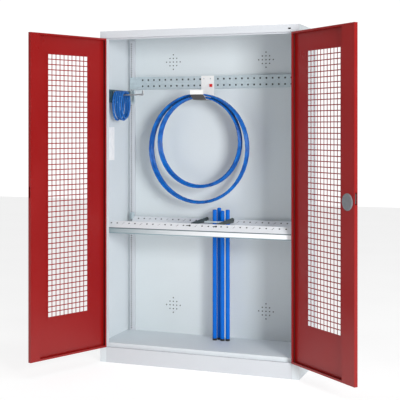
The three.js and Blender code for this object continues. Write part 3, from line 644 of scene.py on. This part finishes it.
def strip_rows(low, high):
    """Grid lines of a column of slots from low to high."""
    count = int((high - low - SLOT_PITCH) / SLOT_PITCH)
    lines = [low]
    for i in range(count):
        base = low + SLOT_PITCH * (i + 1) - SLOT_HEIGHT / 2
        lines += [base, base + SLOT_HEIGHT]
    return lines + [high]


def add_rear_upright(side):
    """The strip's slotted face and its two folded edges, each a closed sheet."""
    node = f"rear_{side}_upright"
    low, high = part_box(node)
    inward = 1 if side == "left" else -1
    slot_x = low.x + SLOT_EDGE if inward > 0 else high.x - SLOT_EDGE
    us = sorted([low.x, high.x, slot_x - SLOT_WIDTH / 2, slot_x + SLOT_WIDTH / 2])
    vs = strip_rows(low.z, high.z)
    face = plate_mesh(
        f"{node}_strip", us, vs, lambda i, j: i == 1 and j % 2 == 1, STRIP_SHEET,
        lambda u, v, depth: Vector((u, low.y + depth, v)))
    piece = link(f"{node}_strip", face, GREY_PAINT, "root")
    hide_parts(node)
    for edge, x in (("outer", low.x), ("inner", high.x - STRIP_SHEET)):
        fold = plate_mesh(
            f"{node}_{edge}_fold", [low.y + STRIP_SHEET, high.y], [low.z, high.z],
            lambda i, j: False, STRIP_SHEET,
            lambda u, v, depth, x=x: Vector((x + depth, u, v)))
        link(f"{node}_{edge}_fold", fold, GREY_PAINT, "root")


for strip_side in DOOR_SIGN:
    add_rear_upright(strip_side)


# ---- small fittings ---------------------------------------------------------------------------
def box_mesh(name, size):
    """A box about the origin."""
    bm = bmesh.new()
    bmesh.ops.create_cube(bm, size=1)
    bmesh.ops.scale(bm, vec=size, verts=bm.verts)
    return from_bmesh(name, bm)


def turned(name, profile, place, axis, material, body, sides):
    """A lathed piece: profile is (radius, height) pairs, which run from the axis to the axis."""
    bm = bmesh.new()
    rings = []
    for radius, height in profile:
        if radius == 0:
            rings.append([bm.verts.new((0, 0, height))])
        else:
            rings.append([bm.verts.new((radius * math.cos(2 * math.pi * i / sides),
                                        radius * math.sin(2 * math.pi * i / sides), height))
                          for i in range(sides)])
    for lower, upper in zip(rings, rings[1:]):
        for i in range(sides):
            n = (i + 1) % sides
            corners = [lower[i % len(lower)], lower[n % len(lower)],
                       upper[n % len(upper)], upper[i % len(upper)]]
            unique = list(dict.fromkeys(corners))
            if len(unique) > 2:
                bm.faces.new(unique)
    turn = Vector(axis).to_track_quat("Z", "Y").to_matrix().to_4x4()
    bm.transform(Matrix.Translation(place) @ turn)
    data = from_bmesh(name, bm, smooth=True)
    piece = link(name, data, material, body)
    return soften(piece, 0.0002, 1, 30)


def button_head(radius, height):
    """A domed screw head with a flat underside."""
    arc = [(radius * math.cos(a), height * (0.35 + 0.65 * math.sin(a)))
           for a in [math.radians(step * 15) for step in range(6)]]
    return [(0, 0), (radius, 0)] + arc + [(0, height)]


EDGE_ROUND = 0.0007
PIN_ROUND = 0.00025


def round_edges():
    """A small round on the sharp edges of each CAD node that shows."""
    for name, node in NODES.items():
        if not node.hide_render:
            soften(node, PIN_ROUND if "hinge_pin" in name else EDGE_ROUND, 2, 40)


round_edges()

TRAVERSE_SLOPE = Vector((0, -1, 1)).normalized()
SLOPE_TURN = TRAVERSE_SLOPE.to_track_quat("Z", "Y").to_matrix().to_4x4()
BOLT_SIDES = 20
FOOT_BOLT = button_head(0.0058, 0.004)
REAR_BOLT = button_head(0.006, 0.0035)
CLIP_SIZE = (0.015, 0.0045, 0.002)


def add_arm_bolts():
    """Black button-head bolts: one through each arm's foot on the front traverse's slope, with
    a clip beside it, and one through its rounded rear end."""
    face_low, face_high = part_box("front_traverse")
    for side in DOOR_SIGN:
        low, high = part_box(f"rod_holder_{side}_arm")
        x = (low.x + high.x) / 2
        foot = Vector((x - 0.004, face_low.y + 0.024, face_high.z - 0.0115))
        turned(f"{side}_arm_front_bolt", FOOT_BOLT, foot + TRAVERSE_SLOPE * 0.0002,
               TRAVERSE_SLOPE, BLACK_PLASTIC, "root", BOLT_SIDES)
        clip = box_mesh(f"{side}_arm_front_clip", CLIP_SIZE)
        clip_place = foot + Vector((-0.013, 0, 0)) + TRAVERSE_SLOPE * 0.0012
        clip.transform(Matrix.Translation(clip_place) @ SLOPE_TURN)
        soften(link(f"{side}_arm_front_clip", clip, BLACK_PLASTIC, "root"), 0.0005)
        rear = Vector((high.x + 0.0002, high.y - 0.012, high.z - 0.014))
        turned(f"{side}_arm_rear_bolt", REAR_BOLT, rear, (1, 0, 0),
               BLACK_PLASTIC, "root", BOLT_SIDES)


add_arm_bolts()


SHADE_SHEET_THICKNESS = 0.001
FLANGE_GAP = 0.0022
END_GAP = 0.001
STRIP_SIDE_GAP = 0.002
STRIP_FACE_GAP = 0.0026
STRIP_END_GAP = 0.004
SLOPE_SHADE_SHEET = 0.040


def link_shade_sheet(name, data):
    soften(link(name, data, DEEP_SHADE, "root"), 0.0002, 1)


def shade_sheet(name, low, high):
    """A dark sheet behind a row of holes, as painted shade: the holes read dark."""
    data = box_mesh(name, high - low)
    data.transform(Matrix.Translation((low + high) / 2))
    link_shade_sheet(name, data)


def add_shade_sheets():
    """Dark sheets in the hollows of the rails, the traverses and the slotted strips: painted shade, so their holes
    and slots read dark.
    """
    low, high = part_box("upper_rail")
    shade_sheet("upper_rail_shade_sheet", low + Vector((END_GAP, FLANGE_GAP, FLANGE_GAP)),
            Vector((high.x - END_GAP, low.y + FLANGE_GAP + SHADE_SHEET_THICKNESS, high.z - FLANGE_GAP)))
    low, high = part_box("side_rail")
    side_face = high.x - 0.0025
    shade_sheet("side_rail_shade_sheet",
            Vector((side_face - SHADE_SHEET_THICKNESS, low.y + END_GAP, low.z + FLANGE_GAP)),
            Vector((side_face, high.y - END_GAP, high.z - FLANGE_GAP)))
    for side in DOOR_SIGN:
        low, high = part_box(f"rear_{side}_upright")
        shade_sheet(f"rear_{side}_upright_shade_sheet",
                low + Vector((STRIP_SIDE_GAP, STRIP_FACE_GAP, STRIP_END_GAP)),
                Vector((high.x - STRIP_SIDE_GAP, low.y + STRIP_FACE_GAP + SHADE_SHEET_THICKNESS,
                        high.z - STRIP_END_GAP)))
    for place in ("front", "rear"):
        low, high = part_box(f"{place}_traverse")
        name = f"{place}_traverse_shade_sheet"
        data = box_mesh(name, (high.x - low.x - 2 * END_GAP, SLOPE_SHADE_SHEET, SHADE_SHEET_THICKNESS))
        data.transform(Matrix.Translation((0, low.y + 0.0195, high.z - 0.0200))
                       @ Matrix.Rotation(math.pi / 4, 4, "X"))
        link_shade_sheet(name, data)


add_shade_sheets()


SHADE_BEAD = 0.0055
SHADE_BEAD_THICKNESS = 0.004
SHADE_BEAD_Y = 0.0037
SHADE_BEAD_Z = (0.0925, 1.9045)
SHADE_BEAD_X = {"left": (0.0055, 0.5015), "right": (0.0055, 0.4625)}


def add_corner_shade_beads():
    """A dark bead in each door's inner corners and beside its channel: painted shade, where the corners fall dark.
    """
    # Painted shade: a dark red-brown for the door's inner corners.
    corner_shade = moulded_plastic("door_corner_shade", "3a100c", 0.65)
    for side, sign in DOOR_SIGN.items():
        start, end = SHADE_BEAD_X[side]
        low, high = SHADE_BEAD_Z
        runs = {
            "hinge": ((start, low), (start + SHADE_BEAD, high)),
            "channel": ((end - SHADE_BEAD, low + SHADE_BEAD), (end, high - SHADE_BEAD)),
            "lower": ((start + SHADE_BEAD, low), (end, low + SHADE_BEAD)),
            "upper": ((start + SHADE_BEAD, high - SHADE_BEAD), (end, high)),
        }
        for place, (first, last) in runs.items():
            name = f"{side}_door_{place}_shade_bead"
            data = box_mesh(name, (last[0] - first[0], SHADE_BEAD_THICKNESS, last[1] - first[1]))
            data.transform(door_matrix(side) @ Matrix.Translation((
                sign * (first[0] + last[0]) / 2, SHADE_BEAD_Y, (first[1] + last[1]) / 2)))
            soften(link(name, data, corner_shade, f"{side}_door"), 0.0015, 2)


add_corner_shade_beads()


WIRE_RADIUS = 0.0026
WIRE_SPACING = 0.0125
WIRE_Z = 1.5765
WIRE_REACH = 0.008


def add_second_hook_wire():
    """The hook is a pair of wires: the second runs beside the first and turns up beside it."""
    low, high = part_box("rope_hook")
    y = (low.y + high.y) / 2 - WIRE_SPACING
    tip_x = high.x + WIRE_REACH
    corner = 0.008
    points = [Vector((low.x + 0.003, y, WIRE_Z)), Vector((tip_x - corner, y, WIRE_Z))]
    for step in range(1, 7):
        angle = math.radians(15 * step)
        points.append(Vector((tip_x - corner + corner * math.sin(angle), y,
                              WIRE_Z + corner - corner * math.cos(angle))))
    points.append(Vector((tip_x, y, high.z - 0.001)))
    data = curve_data("rope_hook_second_wire", points, WIRE_RADIUS)
    link("rope_hook_second_wire", data, STEEL, "root")


add_second_hook_wire()


VENT_PITCH = 0.0225
VENT_RADIUS = 0.0043
VENT_X = 0.296
VENT_Z = (0.284, 1.788)


def add_vent_shade_discs():
    """A dark disc in each round vent hole of the back panel, one piece for each group: painted shade, so the vents
    read dark.
    """
    low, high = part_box("back_panel")
    y = (low.y + high.y) / 2
    # Painted shade: the grey-black of the vent holes.
    vent_shade = moulded_plastic("vent_shade_disc", "3f4547", 0.7)
    for x_name, x in (("left", -VENT_X), ("right", VENT_X)):
        for z_name, z in zip(("lower", "upper"), VENT_Z):
            bm = bmesh.new()
            for row in range(-2, 3):
                half = 2 - abs(row)
                for column in range(-half, half + 1):
                    place = Vector((x + column * VENT_PITCH, y, z + row * VENT_PITCH))
                    turn = Matrix.Translation(place) @ Matrix.Rotation(math.pi / 2, 4, "X")
                    bmesh.ops.create_cone(bm, cap_ends=True, segments=12, radius1=VENT_RADIUS,
                                          radius2=VENT_RADIUS, depth=0.0008, matrix=turn)
            data = from_bmesh(f"{z_name}_{x_name}_vent_shade_disc", bm)
            link(f"{z_name}_{x_name}_vent_shade_disc", data, vent_shade, "root")


add_vent_shade_discs()


CARD_THICKNESS = 0.0012
CARD_WIDTH = 0.112
CARD_HEIGHT = 0.2
CARD_Z = 1.285
CARD_FROM_BACK = 0.33


def add_wall_card():
    """A blank white card with a glossy face on the left wall."""
    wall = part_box("left_side_panel")[0].x + 0.0019
    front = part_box("back_panel")[0].y - CARD_FROM_BACK
    data = box_mesh("wall_card", (CARD_THICKNESS, CARD_WIDTH, CARD_HEIGHT))
    data.transform(Matrix.Translation((wall + CARD_THICKNESS / 2, front + CARD_WIDTH / 2, CARD_Z)))
    card = Shader("white_card", 0.6, Coat_Weight=0.5, Coat_Roughness=0.15)
    card.color(card.ramp(card.noise(40, 3), [(0.35, rgb("f2f3f4")), (0.65, rgb("fbfbfb"))]))
    card.bump(card.noise(500, 2), 0.05, 0.0002)
    soften(link("wall_card", data, card.material, "root"), 0.0004)


add_wall_card()


PLUG_PLACE_X = 0.545
PLUG_PLACE_Z = 1.927
PLUG_STRETCH = (1.15, 0.9, 0.62, 1)


def add_fascia_plug():
    """A small dark oval plug near the right end of the fascia."""
    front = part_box("top_panel")[0].y
    plug = turned("fascia_oval_plug", button_head(0.0075, 0.002),
                  Vector((0, 0, 0)), (0, -1, 0), BLACK_PLASTIC, "root", 24)
    plug.data.transform(Matrix.Translation((PLUG_PLACE_X, front - 0.0001, PLUG_PLACE_Z))
                        @ Matrix.Diagonal(PLUG_STRETCH))


add_fascia_plug()


# ---- studio ---------------------------------------------------------------------------------
def add_stage():
    """A pale floor, just under the cabinet."""
    size = 12
    points = [(-size, -size, 0), (size, -size, 0), (size, size, 0), (-size, size, 0)]
    data = mesh_data("studio_floor", points, [(0, 1, 2, 3)])
    s = Shader("studio_floor_paint", 0.8, Emission_Color=(1, 1, 1, 1), Emission_Strength=0.75,
               Specular_IOR_Level=0.1)
    s.color(s.ramp(s.noise(1.5, 2), [(0.3, rgb("9c9c9c")), (0.7, rgb("a4a4a4"))]))
    data.materials.append(s.material)
    floor = bpy.data.objects.new("studio_floor", data)
    floor.location.z = -0.0005
    bpy.context.scene.collection.objects.link(floor)


LIGHT_TARGET = Vector((0, 0, 1.0))


def add_light(name, place, size, power):
    """A rectangular light that faces the middle of the cabinet."""
    data = bpy.data.lights.new(name, "AREA")
    data.shape = "RECTANGLE"
    data.size = size[0]
    data.size_y = size[1]
    data.energy = power
    light = bpy.data.objects.new(name, data)
    light.location = place
    light.rotation_euler = (LIGHT_TARGET - Vector(place)).to_track_quat("-Z", "Y").to_euler()
    bpy.context.scene.collection.objects.link(light)


def add_world(seen, lit):
    """White to the camera, softer as light on the object."""
    world = bpy.data.worlds.new("studio_world")
    world.use_nodes = True
    tree = world.node_tree
    background = tree.nodes["Background"]
    background.inputs["Color"].default_value = (1, 1, 1, 1)
    ray = tree.nodes.new("ShaderNodeLightPath")
    strength = tree.nodes.new("ShaderNodeMapRange")
    strength.inputs["To Min"].default_value = lit
    strength.inputs["To Max"].default_value = seen
    tree.links.new(ray.outputs["Is Camera Ray"], strength.inputs["Value"])
    tree.links.new(strength.outputs["Result"], background.inputs["Strength"])
    bpy.context.scene.world = world


add_stage()
add_world(seen=1.05, lit=0.33)
add_light("key", (4.0, -4.4, 1.9), (1.6, 2.0), 265)
add_light("fill", (-3.0, -5.0, 2.4), (2.5, 2.5), 12)
add_light("top", (0, -1.2, 4.6), (3, 2), 40)
bpy.context.scene.view_settings.view_transform = "Standard"
